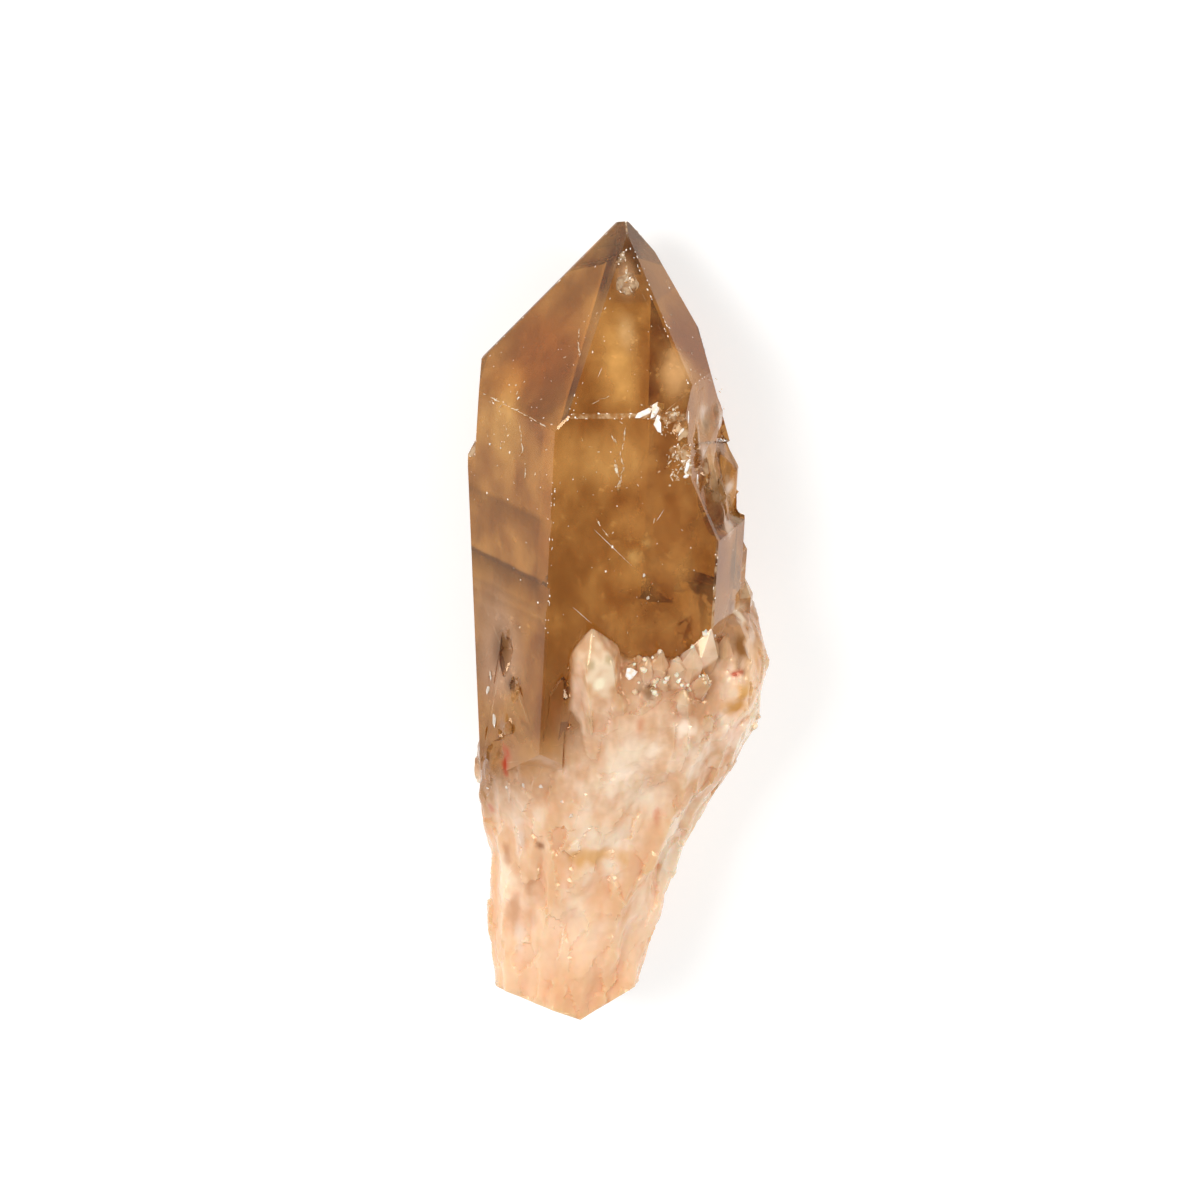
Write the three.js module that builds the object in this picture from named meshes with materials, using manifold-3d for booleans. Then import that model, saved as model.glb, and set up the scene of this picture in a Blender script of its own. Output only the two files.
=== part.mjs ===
// A natural citrine crystal point, lying on its back prism face.
//
// A clear six-sided quartz prism ends in a six-faced point and grows out of a milky root.
// Small crystals crowd the line where the prism meets the root. All of it grew together, so
// it is one solid.
//
// Millimetres. +Y runs along the crystal to its tip, +Z is up, Z = 0 is the surface it lies on.
// While it is built, Y = 0 is the foot of the left point face and X = 0 is the prism's middle.

import * as THREE from "three";
import { ImprovedNoise } from "three/addons/math/ImprovedNoise.js";
import { mergeVertices } from "three/addons/utils/BufferGeometryUtils.js";
import Module from "manifold-3d";

const wasm = await Module();
wasm.setup();

// Widths of the prism faces, going round from the front. The last two close the hexagon.
const FRONT_WIDTH = 13.4;
const RIGHT_WIDTH = 6.2;
const BACK_LEFT_WIDTH = 9.5;
const LEFT_WIDTH = 11.3;
const BACK_RIGHT_WIDTH = BACK_LEFT_WIDTH + LEFT_WIDTH - RIGHT_WIDTH;
const BACK_WIDTH = FRONT_WIDTH + RIGHT_WIDTH - BACK_LEFT_WIDTH;
const THICKNESS = (BACK_LEFT_WIDTH + LEFT_WIDTH) * Math.sin(Math.PI / 3);
const FRONT_LEFT_X = -5.42;

// Quartz's own angle between the axis and the faces of the point, as the tilt of their normals.
const POINT_SLOPE = 38.2;

// How high on the prism each face of the point starts.
const FOOT_FRONT = 1.1;
const FOOT_RIGHT = -0.75;
const FOOT_BACK_RIGHT = 6.6;
const FOOT_BACK = 5.7;
const FOOT_BACK_LEFT = 2.1;
const FOOT_LEFT = 0;

// The prism runs down into the root as far as this.
const PRISM_END = -31.5;
const EDGE_WEAR = 0.07;

// The right face is set back above a sloping ledge.
const LEDGE_TAPER = 7;
const SETBACK_POINT = [6.7, 3.2, 14.2];
const LEDGE_SLOPE = 22;
const LEDGE_POINT = [5.72, -4.56, THICKNESS];

// The root's outline: distance along the axis, then left, right, front and back.
const ROOT_STATIONS = [
  [-14.5, -5.0, 9.0, 13.0, 2.0],
  [-17.0, -6.5, 12.0, 16.3, 0.6],
  [-18.5, -7.0, 12.6, 17.6, 0.0],
  [-20.0, -7.4, 12.5, 18.7, -0.4],
  [-24.0, -8.0, 12.8, 19.0, -0.6],
  [-27.5, -8.3, 12.9, 18.6, -0.6],
  [-29.5, -8.7, 12.3, 17.9, -0.5],
  [-31.5, -9.0, 12.1, 17.4, -0.3],
  [-34.0, -9.0, 10.6, 16.9, 0.2],
  [-38.0, -8.2, 8.8, 15.8, 1.1],
  [-42.0, -7.5, 7.1, 14.9, 1.8],
  [-47.0, -7.4, 5.6, 14.3, 2.4],
  [-52.0, -6.8, 4.6, 13.8, 2.8],
  [-58.0, -6.2, 4.2, 13.4, 3.2],
];
const ROOT_AROUND = 60;
const ROOT_ALONG = 42;
const RIDGE_HEIGHT = 1.05;
const LUMP_HEIGHT = 0.5;

// The crust swells over the prism's front on the right: turn, distance along, height, two spreads.
const SWELLINGS = [
  [48, -22.0, 0.8, 24, 4.0],
  [75, -25.0, 0.4, 22, 4.0],
  [-20, -37.0, 0.5, 20, 4.5],
  [205, -40.0, 0.6, 26, 6.0],
];

// The one clear-cut small crystal on the front: its tip, width, length, point and two leans.
const SIDE_CRYSTAL = { tip: [-1.9, -16.2, 19.1], width: 4.1, length: 9, point: 2.4, lean: 9, rise: 17, foot: 1.25 };

// Small crystals set by hand along the crust: the tip, then width, length, lean and rise.
const CRUST_CRYSTALS = [
  [1.5, -19.2, 18.9, 1.4, 5, -6, 24],
  [2.6, -18.7, 18.8, 1.5, 5, 5, 20],
  [3.8, -18.3, 18.9, 1.9, 5, -4, 22],
  [5.1, -18.7, 19.0, 1.6, 5, 6, 26],
  [6.4, -17.9, 18.9, 2.2, 6, -5, 20],
  [7.8, -16.6, 18.4, 2.9, 7, -10, 18],
  [9.3, -17.4, 17.3, 2.3, 6, -14, 16],
  [-3.9, -20.6, 18.4, 2.3, 7, -2, 12],
  [-8.5, -22.0, 12.0, 1.7, 5, 8, 16],
  [-8.8, -23.9, 10.0, 2.0, 5, 12, 10],
  [-7.2, -25.2, 14.6, 1.8, 5, 8, 18],
  [-6.4, -28.0, 15.6, 1.6, 5, 6, 20],
  [0.4, -21.6, 19.5, 1.8, 5, 6, 30],
  [3.2, -21.0, 19.6, 1.4, 5, -8, 34],
  [5.6, -21.4, 19.6, 1.7, 5, 10, 32],
  [7.6, -20.2, 19.2, 1.5, 5, -12, 30],
];

// Slim crystals that follow the ledge on the right side: the tip, then width, length.
const LEDGE_CRYSTALS = [
  [7.1, -3.2, 15.4, 1.3, 9],
  [8.5, -5.3, 14.2, 1.5, 10],
  [9.4, -7.3, 13.2, 1.7, 11],
  [10.5, -10.4, 11.9, 2.0, 11],
  [11.2, -14.2, 11.6, 2.3, 10],
];
const SCATTERED_CRYSTALS = 56;

// Shell-shaped chips and hollows: the middle, then the three radii.
const CHIPS = [
  [2.0, 1.6, 18.5, 1.8, 0.8, 0.95],
  [3.6, 1.1, 18.5, 1.2, 0.8, 0.9],
  [4.6, 0.1, 18.7, 1.3, 1.3, 1.0],
  [5.3, -1.6, 18.5, 1.0, 1.2, 0.8],
  [5.6, -3.2, 18.5, 0.9, 1.1, 0.8],
  [4.2, -1.9, 18.55, 0.7, 0.9, 0.7],
  [0.75, 10.3, 11.35, 1.0, 1.5, 0.75],
  [0.2, 11.9, 9.9, 0.7, 0.9, 0.5],
  [-8.4, -20.3, 13.75, 1.2, 2.1, 0.95],
  [-7.6, -23.2, 15.0, 0.9, 1.2, 0.8],
  [-11.3, -4.2, 8.9, 0.6, 1.0, 1.3],
];

// Shallow breaks in the root: turn about the axis, distance along it, radius of the shell.
const ROOT_BREAKS = [
  [-42, -36.5, 4.0],
  [14, -35.0, 4.6],
  [-6, -45.5, 4.2],
  [46, -41.0, 3.8],
  [104, -34.0, 4.4],
  [152, -40.0, 4.0],
  [236, -38.0, 4.2],
  [-70, -47.0, 3.6],
];
const CHIP_ROUGHNESS = 0.45;
const BREAK_ROUGHNESS = 0.12;

const COLOUR = 0xc98544;

// The same number for the same two inputs every time, from 0 to 1.
function chance(index, salt) {
  const wave = Math.sin(index * 127.1 + salt * 311.7) * 43758.5453;
  return wave - Math.floor(wave);
}

// A closed geometry as a solid that can be joined and cut.
function solidFrom(geometry) {
  const bare = geometry.clone();
  bare.deleteAttribute("normal");
  bare.deleteAttribute("uv");
  const merged = mergeVertices(bare, 1e-5);
  const triangles = [];
  for (let i = 0; i < merged.index.count; i += 3) {
    const a = merged.index.getX(i);
    const b = merged.index.getX(i + 1);
    const c = merged.index.getX(i + 2);
    if (a !== b && b !== c && c !== a) triangles.push(a, b, c);
  }
  return new wasm.Manifold(new wasm.Mesh({
    numProp: 3,
    vertProperties: new Float32Array(merged.attributes.position.array),
    triVerts: new Uint32Array(triangles),
  }));
}

// A flat face by its turn about the axis (0 faces up, 90 faces right), the tilt of its normal
// towards the tip, and a point on it.
function face(turn, slope, point) {
  const across = THREE.MathUtils.degToRad(turn);
  const along = THREE.MathUtils.degToRad(slope);
  const normal = new THREE.Vector3(
    Math.sin(across) * Math.cos(along),
    Math.sin(along),
    Math.cos(across) * Math.cos(along),
  );
  return { normal, distance: normal.dot(new THREE.Vector3(...point)) };
}

// Everything outside a face, as a block large enough to cut the whole crystal.
function outside({ normal, distance }) {
  const size = 240;
  const block = new THREE.BoxGeometry(size, size, size);
  block.translate(0, 0, size / 2);
  block.applyQuaternion(new THREE.Quaternion().setFromUnitVectors(new THREE.Vector3(0, 0, 1), normal));
  block.translate(normal.x * distance, normal.y * distance, normal.z * distance);
  return solidFrom(block);
}

function trim(solid, faces) {
  return faces.reduce((kept, cut) => kept.subtract(outside(cut)), solid);
}

// The corner of the prism where each face starts, going round from the front.
function prismFaces() {
  const rows = [
    [0, FRONT_WIDTH, FOOT_FRONT],
    [60, RIGHT_WIDTH, FOOT_RIGHT],
    [120, BACK_RIGHT_WIDTH, FOOT_BACK_RIGHT],
    [180, BACK_WIDTH, FOOT_BACK],
    [240, BACK_LEFT_WIDTH, FOOT_BACK_LEFT],
    [300, LEFT_WIDTH, FOOT_LEFT],
  ];
  let x = FRONT_LEFT_X;
  let z = THICKNESS;
  return rows.map(([turn, width, foot]) => {
    const start = { turn, foot, x, z };
    x += width * Math.cos(THREE.MathUtils.degToRad(turn));
    z -= width * Math.sin(THREE.MathUtils.degToRad(turn));
    return start;
  });
}

// Takes the sharpness off every edge where two of the faces meet.
function wearEdges(solid, faces, depth) {
  const points = [];
  const found = solid.getMesh();
  for (let i = 0; i < found.vertProperties.length; i += 3) {
    points.push(new THREE.Vector3().fromArray(found.vertProperties, i));
  }
  const on = (flat, point) => Math.abs(flat.normal.dot(point) - flat.distance) < 1e-3;
  const worn = [];
  faces.forEach((one, i) => {
    faces.slice(i + 1).forEach((other) => {
      const shared = points.filter((point) => on(one, point) && on(other, point));
      if (shared.length < 2) return;
      const normal = one.normal.clone().add(other.normal).normalize();
      worn.push({ normal, distance: normal.dot(shared[0]) - depth });
    });
  });
  return trim(solid, worn);
}

// The clear point: prism faces, point faces and the broken right skyline, with worn edges.
function clearPoint() {
  const starts = prismFaces();
  const flats = [
    ...starts.map(({ turn, x, z }) => face(turn, 0, [x, 0, z])),
    ...starts.map(({ turn, foot, x, z }) => face(turn, POINT_SLOPE, [x, foot, z])),
  ];
  const block = solidFrom(new THREE.BoxGeometry(120, 160, 120));
  const worn = wearEdges(trim(block, flats), flats, EDGE_WEAR);
  const brokenSkyline = [
    face(179, 69, [0.1, 14.85, 10]),
    face(108, 50, [0.75, 14.8, 10]),
    face(92, 31, [2.2, 13.5, 10]),
    face(86, 18, [6.45, 6.9, 10]),
  ];
  const leftTaper = face(263, -4.7, [-10.35, -14.5, 8.5]);
  const lowerEnd = [
    face(20, -86, [0, PRISM_END, 9]),
    face(335, -40, [FRONT_LEFT_X, -27.5, THICKNESS]),
    face(175, -60, [0, -27.0, 0]),
  ];
  const shaped = trim(worn, [...brokenSkyline, leftTaper, ...lowerEnd]);

  const setBack = face(60, LEDGE_TAPER, SETBACK_POINT);
  const ledge = face(60, LEDGE_SLOPE, LEDGE_POINT);
  const leftBreak = face(261, 1, [-10.1, 2, 7]);
  const leftStep = face(285, 52, [-10.6, -5.4, 9]);
  const underCrust = face(0, -35, [0, -19.6, THICKNESS]);
  const besideCrust = face(80, 0, [-3.6, -20, THICKNESS]);
  const bandLow = [-5.42, -15.4, THICKNESS];
  const bandHigh = [-5.42, -13.3, THICKNESS];
  const bandTwoLow = [-5.42, -9.2, THICKNESS];
  const bandTwoHigh = [-5.42, -7.6, THICKNESS];
  return shaped
    .subtract(outside(setBack).intersect(outside(ledge)))
    .subtract(outside(leftBreak).intersect(outside(leftStep)))
    .subtract(outside(underCrust).intersect(outside(besideCrust)))
    .subtract(growthStep(300, 4, bandLow, bandHigh))
    .subtract(growthStep(300, 3, bandTwoLow, bandTwoHigh));
}

// A shallow wedge cut across a prism face, between two levels, as a step in its growth.
function growthStep(turn, slope, low, high) {
  const wedge = outside(face(turn, slope, low));
  return trim(wedge, [face(turn, 90, high)]);
}

// The root's left, right, front and back at a distance along the axis.
function rootAt(y) {
  const next = ROOT_STATIONS.findIndex((station) => station[0] <= y);
  if (next <= 0) return ROOT_STATIONS[next < 0 ? ROOT_STATIONS.length - 1 : 0];
  const above = ROOT_STATIONS[next - 1];
  const below = ROOT_STATIONS[next];
  const share = (above[0] - y) / (above[0] - below[0]);
  return above.map((value, i) => THREE.MathUtils.lerp(value, below[i], share));
}

// A point on the root's surface at a turn about its axis and a distance along it, with the
// lengthwise ridges of a bundle of crystals and coarser lumps over them.
const noise = new ImprovedNoise();
function rootSurface(turn, y) {
  const across = THREE.MathUtils.degToRad(turn);
  const side = Math.sin(across);
  const up = Math.cos(across);
  const [, left, right, front, back] = rootAt(y);
  const middleX = (left + right) / 2;
  const middleZ = (front + back) / 2;
  const square = (value) => Math.sign(value) * Math.abs(value) ** 0.82;
  const x = middleX + square(side) * (right - left) / 2;
  const z = middleZ + square(up) * (front - back) / 2;
  const ridges = noise.noise(side * 2.6 + 7, up * 2.6 + 3, y * 0.07);
  const blades = 1 - 2 * Math.abs(noise.noise(side * 4.5, up * 4.5, y * 0.11 + 5));
  const lumps = noise.noise(x * 0.3 + 9, y * 0.3, z * 0.3);
  let out = RIDGE_HEIGHT * (0.8 * ridges + 0.35 * (blades - 0.6)) + LUMP_HEIGHT * lumps;
  for (const [at, along, height, spreadTurn, spreadAlong] of SWELLINGS) {
    const apart = THREE.MathUtils.euclideanModulo(turn - at + 180, 360) - 180;
    out += height * Math.exp(-((apart / spreadTurn) ** 2) - ((y - along) / spreadAlong) ** 2);
  }
  return new THREE.Vector3(x + side * out, y, z + up * out);
}

// The milky root: a drum whose rings follow the outline, broken off below in oblique faces.
function root() {
  const top = ROOT_STATIONS[0][0];
  const length = top - ROOT_STATIONS.at(-1)[0];
  const drum = new THREE.CylinderGeometry(1, 1, length, ROOT_AROUND, ROOT_ALONG);
  const points = drum.attributes.position;
  for (let i = 0; i < points.count; i += 1) {
    const y = points.getY(i) + top - length / 2;
    const spread = Math.hypot(points.getX(i), points.getZ(i));
    const turn = THREE.MathUtils.radToDeg(Math.atan2(points.getX(i), points.getZ(i)));
    const rim = rootSurface(Math.round(turn * 100) / 100, y);
    const [, left, right, front, back] = rootAt(y);
    const middle = new THREE.Vector3((left + right) / 2, y, (front + back) / 2);
    const placed = middle.lerp(rim, Math.min(1, spread));
    points.setXYZ(i, placed.x, placed.y, placed.z);
  }
  return trim(solidFrom(drum), [
    face(308, -63, [-0.4, -54.5, 9]),
    face(53, -51, [0.5, -54.8, 9]),
    face(170, -48, [0, -54.0, 5.0]),
  ]);
}

// A small six-sided point whose tip is at the origin and whose shaft runs down -Y.
function smallPoint(width, length, point, foot, salt) {
  const radius = width / 2;
  const profile = [
    new THREE.Vector2(0, -length),
    new THREE.Vector2(radius * foot, -length),
    new THREE.Vector2(radius, -point),
    new THREE.Vector2(0, 0),
  ];
  const shape = new THREE.LatheGeometry(profile, 6);
  shape.rotateY(chance(salt, 1) * 1.0);
  shape.scale(1, 1, 0.75 + 0.4 * chance(salt, 2));
  return shape;
}

// Lean turns the tip to the left, rise lifts it off the face that the crystal lies along.
function placedPoint({ tip, width, length, point, lean, rise, turn = 0, foot = 0.9, salt }) {
  const shape = smallPoint(width, length, point, foot, salt);
  const pose = new THREE.Euler(
    THREE.MathUtils.degToRad(rise),
    0,
    THREE.MathUtils.degToRad(lean),
  );
  shape.applyQuaternion(new THREE.Quaternion().setFromEuler(pose));
  shape.rotateY(THREE.MathUtils.degToRad(turn));
  shape.translate(...tip);
  return solidFrom(shape);
}

function smallCrystals() {
  const crystals = [placedPoint({ ...SIDE_CRYSTAL, salt: 3 })];
  CRUST_CRYSTALS.forEach(([x, y, z, width, length, lean, rise], i) => {
    crystals.push(placedPoint({ tip: [x, y, z], width, length, point: width * 0.75, lean, rise, salt: i + 10 }));
  });
  LEDGE_CRYSTALS.forEach(([x, y, z, width, length], i) => {
    crystals.push(placedPoint({ tip: [x, y, z], width, length, point: width * 0.9, lean: 0, rise: 0, salt: i + 30 }));
  });
  // The rest of the crust goes round the right side and the back, with only the tips standing clear.
  for (let i = 0; i < SCATTERED_CRYSTALS; i += 1) {
    const turn = -14 + 270 * ((i + 0.7 * chance(i, 3)) / SCATTERED_CRYSTALS);
    const foot = rootSurface(turn, -18.2 - 8.5 * chance(i, 4));
    const width = 0.9 + 1.5 * chance(i, 5) ** 1.5;
    const rise = 24 + 26 * chance(i, 6);
    const clear = 0.15 + 0.22 * width;
    const across = THREE.MathUtils.degToRad(turn);
    const tip = [foot.x + clear * Math.sin(across), foot.y + 0.5, foot.z + clear * Math.cos(across)];
    const lean = 30 * (chance(i, 7) - 0.5);
    crystals.push(placedPoint({ tip, width, length: 4, point: width * 0.8, lean, rise, turn, salt: i + 50 }));
  }
  return crystals;
}

// An uneven shell, so that a cut with it breaks off in an irregular outline.
function shell(middle, radii, roughness, salt) {
  const shape = new THREE.IcosahedronGeometry(1, 2);
  const points = shape.attributes.position;
  for (let i = 0; i < points.count; i += 1) {
    const spot = new THREE.Vector3().fromBufferAttribute(points, i);
    const swell = noise.noise(spot.x * 1.4 + salt * 5, spot.y * 1.4, spot.z * 1.4);
    spot.multiplyScalar(1 + roughness * swell);
    points.setXYZ(i, spot.x, spot.y, spot.z);
  }
  shape.scale(...radii);
  shape.rotateZ(0.5 * (chance(salt, 9) - 0.5));
  shape.translate(...middle);
  return solidFrom(shape);
}

function chips() {
  return CHIPS.map(([x, y, z, ...radii], i) => shell([x, y, z], radii, CHIP_ROUGHNESS, i));
}

function rootBreaks() {
  return ROOT_BREAKS.map(([turn, y, radius], i) => {
    const foot = rootSurface(turn, y);
    const across = THREE.MathUtils.degToRad(turn);
    const out = radius * 0.92;
    const middle = [foot.x + out * Math.sin(across), y, foot.z + out * Math.cos(across)];
    return shell(middle, [radius, radius * 1.6, radius], BREAK_ROUGHNESS, i + 20);
  });
}

function citrine() {
  const cut = chips().reduce((kept, chip) => kept.subtract(chip), clearPoint());
  const broken = rootBreaks().reduce((kept, piece) => kept.subtract(piece), root());
  const grown = smallCrystals().reduce((kept, crystal) => kept.add(crystal), cut.add(broken));
  return trim(grown, [face(180, 0, [0, 0, 0])]);
}

// The largest body of a solid, so that no crumb cut loose stays with it.
function largest(solid) {
  return solid.decompose().reduce((one, other) => (other.volume() > one.volume() ? other : one));
}

const built = largest(citrine()).getMesh();
const geometry = new THREE.BufferGeometry();
geometry.setAttribute("position", new THREE.BufferAttribute(new Float32Array(built.vertProperties), 3));
geometry.setIndex(new THREE.BufferAttribute(new Uint32Array(built.triVerts), 1));
geometry.computeVertexNormals();
geometry.computeBoundingBox();

const quartz = new THREE.MeshStandardMaterial({ color: COLOUR, roughness: 0.15, metalness: 0 });
const point = new THREE.Mesh(geometry, quartz);
point.name = "citrine_point";

// The origin is the middle of the underside.
const middle = geometry.boundingBox.getCenter(new THREE.Vector3());
point.position.set(-middle.x, -middle.y, -geometry.boundingBox.min.z);

const part = new THREE.Group();
part.add(point);

export default part;
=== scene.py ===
"""A natural citrine crystal point, lying on its back prism face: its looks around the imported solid."""

import math
import random

import bmesh
import bpy
from mathutils import Matrix, Vector, noise
from mathutils.bvhtree import BVHTree


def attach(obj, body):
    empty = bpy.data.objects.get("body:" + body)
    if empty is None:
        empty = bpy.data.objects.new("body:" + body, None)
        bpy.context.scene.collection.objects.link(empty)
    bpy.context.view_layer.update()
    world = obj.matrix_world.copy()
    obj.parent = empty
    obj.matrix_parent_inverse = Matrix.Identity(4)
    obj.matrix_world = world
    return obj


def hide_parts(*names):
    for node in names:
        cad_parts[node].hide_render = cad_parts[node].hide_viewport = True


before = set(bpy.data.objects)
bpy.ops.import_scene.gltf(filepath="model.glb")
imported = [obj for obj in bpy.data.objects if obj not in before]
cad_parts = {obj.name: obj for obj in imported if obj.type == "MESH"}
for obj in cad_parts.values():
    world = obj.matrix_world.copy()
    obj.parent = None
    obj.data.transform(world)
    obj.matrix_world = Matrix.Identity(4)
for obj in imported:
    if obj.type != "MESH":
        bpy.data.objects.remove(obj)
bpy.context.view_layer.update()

# The noise draws its own offsets from this seed, so that every run gives the same root.
NOISE_SEED = 3
noise.seed_set(NOISE_SEED)

# Places on the crystal are in millimetres from the prism's middle, the foot of the left point face
# and the surface that it lies on, as in the part's source. This is where that point is in the frame.
SOURCE_ORIGIN = Vector((-1.553, 20.919, 0.0))
MM = 0.001

# The root starts to show below this. Its faces are split down to the first edge length, all others to
# the second, in this many rounds.
ROOT_TOP = -16.0
ROOT_EDGE = 0.36
FACE_EDGE = 0.8
SPLIT_ROUNDS = 6

# Quartz bends light by this much.
QUARTZ_IOR = 1.544

# Faces this large, in square millimetres, are crystal faces and stay flat. In the crust they are smaller.
FLAT_FACE_AREA = 6.0
FLAT_CRUST_AREA = 0.62
CRUST_END = -28.0

# The one large small crystal on the front, worn round: its sides, ends and foot.
SIDE_CRYSTAL_BOX = ((-4.0, 2.2), (-23.5, -15.0), 18.04)

# The broken part of the right side, under the point: its ends along the crystal, its inner edge, its foot
# and top, and how much of its length the relief takes to fade in.
BROKEN_ALONG = (-9.6, 0.6)
BROKEN_INNER = 5.9
BROKEN_HEIGHT = (7.0, 17.6)
BROKEN_FADE = 1.2

# Smaller faces than this, in square millimetres, on the clear part belong to worn edges, and still smaller
# ones to chips. How frosted each is, and the broken side with them.
BRUISE_AREA = 4.0
CHIP_AREA = 0.7
WORN_FROST = 0.8
CHIP_FROST = 1.0
BROKEN_FROST = 0.2

# Edges sharper than the first angle are shaded sharp, and those sharper than the second can be nicked and
# given painted highlights.
SHARP_ANGLE = math.radians(26)
NICK_AND_HIGHLIGHT_ANGLE = math.radians(18)

# How many specks are tried on the clear faces, how many small points stand on the crust and where, and the
# grain of the veils.
SPECK_COUNT = 360
DRUSE_COUNT = 30
DRUSE_BOX = ((1.5, 8.0), (-22.5, -17.0), 16.5)
WISP_SIZE = 2.2


def at(x, y, z):
    return (Vector((x, y, z)) + SOURCE_ORIGIN) * MM


def source_place(point):
    return point / MM - SOURCE_ORIGIN


def linear(colour):
    """An sRGB hex value as linear red, green, blue and alpha."""
    channels = [int(colour[i:i + 2], 16) / 255 for i in (1, 3, 5)]
    return [c / 12.92 if c <= 0.04045 else ((c + 0.055) / 1.055) ** 2.4 for c in channels] + [1.0]


def smooth_step(low, high, value):
    """Nothing at one value, one at the other, and a smooth rise between them."""
    share = min(1.0, max(0.0, (value - low) / (high - low)))
    return share * share * (3 - 2 * share)


def add(tree, kind, settings=None, links=None):
    """Adds a node, sets its attributes and unlinked sockets, links outputs to its inputs, returns it."""
    node = tree.nodes.new(kind)
    for name, value in (settings or {}).items():
        if isinstance(name, str) and hasattr(node, name):
            setattr(node, name, value)
        else:
            node.inputs[name].default_value = value
    for name, source in (links or {}).items():
        tree.links.new(source, node.inputs[name])
    return node


def new_material(name):
    material = bpy.data.materials.new(name)
    material.use_nodes = True
    material.node_tree.nodes.clear()
    return material, material.node_tree


def link_object(name, mesh):
    thing = bpy.data.objects.new(name, mesh)
    bpy.context.scene.collection.objects.link(thing)
    return thing


# Stains and clearer spots on the root, the crust and the side crystal, and painted light on the broken right
# side:
# place, reach in three directions, colour and strength.
STAINS_AND_PAINTED_LIGHT = [
    # Side crystal
    ((-0.9, -19.6, 20.0), (2.4, 4.0, 1.8), "#f7e6c8", 0.75),
    ((-2.1, -19.0, 20.2), (0.6, 0.7, 0.9), "#a08a5a", 0.6),
    ((-0.6, -18.6, 20.0), (0.6, 0.6, 0.9), "#a8915f", 0.6),
    ((-1.2, -20.7, 19.8), (0.6, 1.0, 0.9), "#fff4d4", 0.8),
    # Glassy crust to the right of it, with a clear brown window
    ((5.6, -20.2, 19.0), (3.4, 1.5, 1.6), "#d0ae8a", 0.5),
    ((2.8, -21.7, 19.4), (1.2, 1.3, 1.4), "#7d4f1c", 0.9),
    ((4.6, -21.4, 19.2), (0.8, 0.6, 1.2), "#8c5e2c", 0.6),
    ((8.4, -18.7, 17.9), (1.2, 1.4, 1.4), "#a07a4a", 0.8),
    # Bulge on the right: brown wedge, cream window, brown crescent, red and ochre spots
    ((11.2, -20.5, 15.5), (2.6, 5.5, 5.0), "#f0bd84", 0.55),
    ((10.0, -16.3, 14.5), (1.0, 1.9, 2.4), "#7a4610", 0.85),
    ((10.9, -17.2, 13.6), (1.0, 1.2, 1.8), "#f4e0c4", 0.9),
    ((10.6, -19.1, 16.4), (1.0, 2.6, 3.0), "#84501c", 0.95),
    ((11.9, -18.6, 14.0), (0.6, 1.8, 2.0), "#e2d2c6", 0.6),
    ((10.2, -20.9, 17.5), (0.7, 0.5, 1.4), "#bc3a1e", 0.85),
    ((11.4, -22.3, 17.2), (1.3, 1.1, 2.0), "#d89c3c", 0.7),
    ((10.6, -23.7, 17.4), (2.6, 1.1, 2.4), "#c48426", 0.85),
    ((10.6, -26.6, 16.4), (2.0, 2.4, 2.4), "#e6b8a0", 0.5),
    # Cream lumps below the crust
    ((6.2, -25.0, 18.6), (1.5, 1.1, 1.4), "#ffeeda", 0.75),
    ((3.8, -27.0, 18.4), (1.7, 1.0, 1.4), "#ffecd6", 0.65),
    ((1.6, -29.0, 18.0), (1.5, 1.1, 1.4), "#ffe8d2", 0.6),
    ((7.5, -28.5, 17.2), (2.6, 3.0, 2.6), "#fdebd6", 0.45),
    ((2.4, -24.6, 19.0), (0.5, 1.0, 0.8), "#c4622e", 0.45),
    # Left side: brownish under the clear face, red streaks, brown spots and whitish stripes
    ((-6.5, -28.5, 14.5), (3.4, 4.5, 4.5), "#b07a4e", 0.5),
    ((-7.66, -29.4, 14.2), (0.45, 1.9, 0.9), "#b02c10", 0.95),
    ((-8.4, -34.9, 11.8), (0.5, 1.2, 0.9), "#b84a22", 0.65),
    ((-4.6, -36.6, 15.1), (0.55, 0.55, 0.9), "#84440f", 0.8),
    ((-5.1, -40.8, 13.8), (0.8, 1.4, 1.2), "#b8733f", 0.6),
    ((-7.0, -38.4, 12.8), (0.6, 2.2, 1.4), "#b06c3a", 0.6),
    ((-6.2, -43.6, 12.5), (1.2, 2.6, 1.6), "#be7c4c", 0.6),
    ((-6.2, -36.4, 14.2), (0.5, 2.8, 1.2), "#e8d0be", 0.7),
    ((-5.6, -45.8, 13.0), (0.6, 2.6, 1.2), "#ecd4c0", 0.7),
    # Lower root: ochre line, orange and brown spots
    ((4.6, -33.6, 16.3), (0.45, 1.5, 1.2), "#c0521c", 0.5),
    ((-0.4, -37.4, 16.0), (3.8, 1.4, 2.6), "#d0943c", 0.7),
    ((2.0, -53.0, 12.0), (1.0, 1.4, 2.6), "#a8682e", 0.6),
    ((-0.6, -52.5, 12.5), (0.8, 1.4, 2.6), "#cc7a40", 0.5),
    # Broken right side: pale facets as a painted reflection of the light, and olive-brown ones as painted
    # shade in the recesses between them
    ((6.6, 0.1, 15.0), (0.9, 1.3, 1.8), "#dfcdc3", 0.75),
    ((6.7, -3.0, 15.7), (0.9, 1.8, 1.6), "#dbc9bf", 0.8),
    ((8.4, -1.2, 12.4), (0.9, 1.8, 1.2), "#e2d0c4", 0.65),
    ((9.7, -6.6, 12.6), (0.8, 1.1, 1.2), "#e6d6cc", 0.75),
    ((9.3, -9.2, 15.2), (0.9, 1.5, 1.4), "#dccac0", 0.7),
    ((7.2, -0.6, 14.3), (1.3, 1.1, 2.4), "#6a3c0c", 0.9),
    ((8.2, -6.0, 15.0), (1.5, 2.2, 2.4), "#70460e", 0.75),
    ((10.4, -8.6, 13.4), (0.8, 1.6, 1.0), "#644808", 0.8),
]


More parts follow.
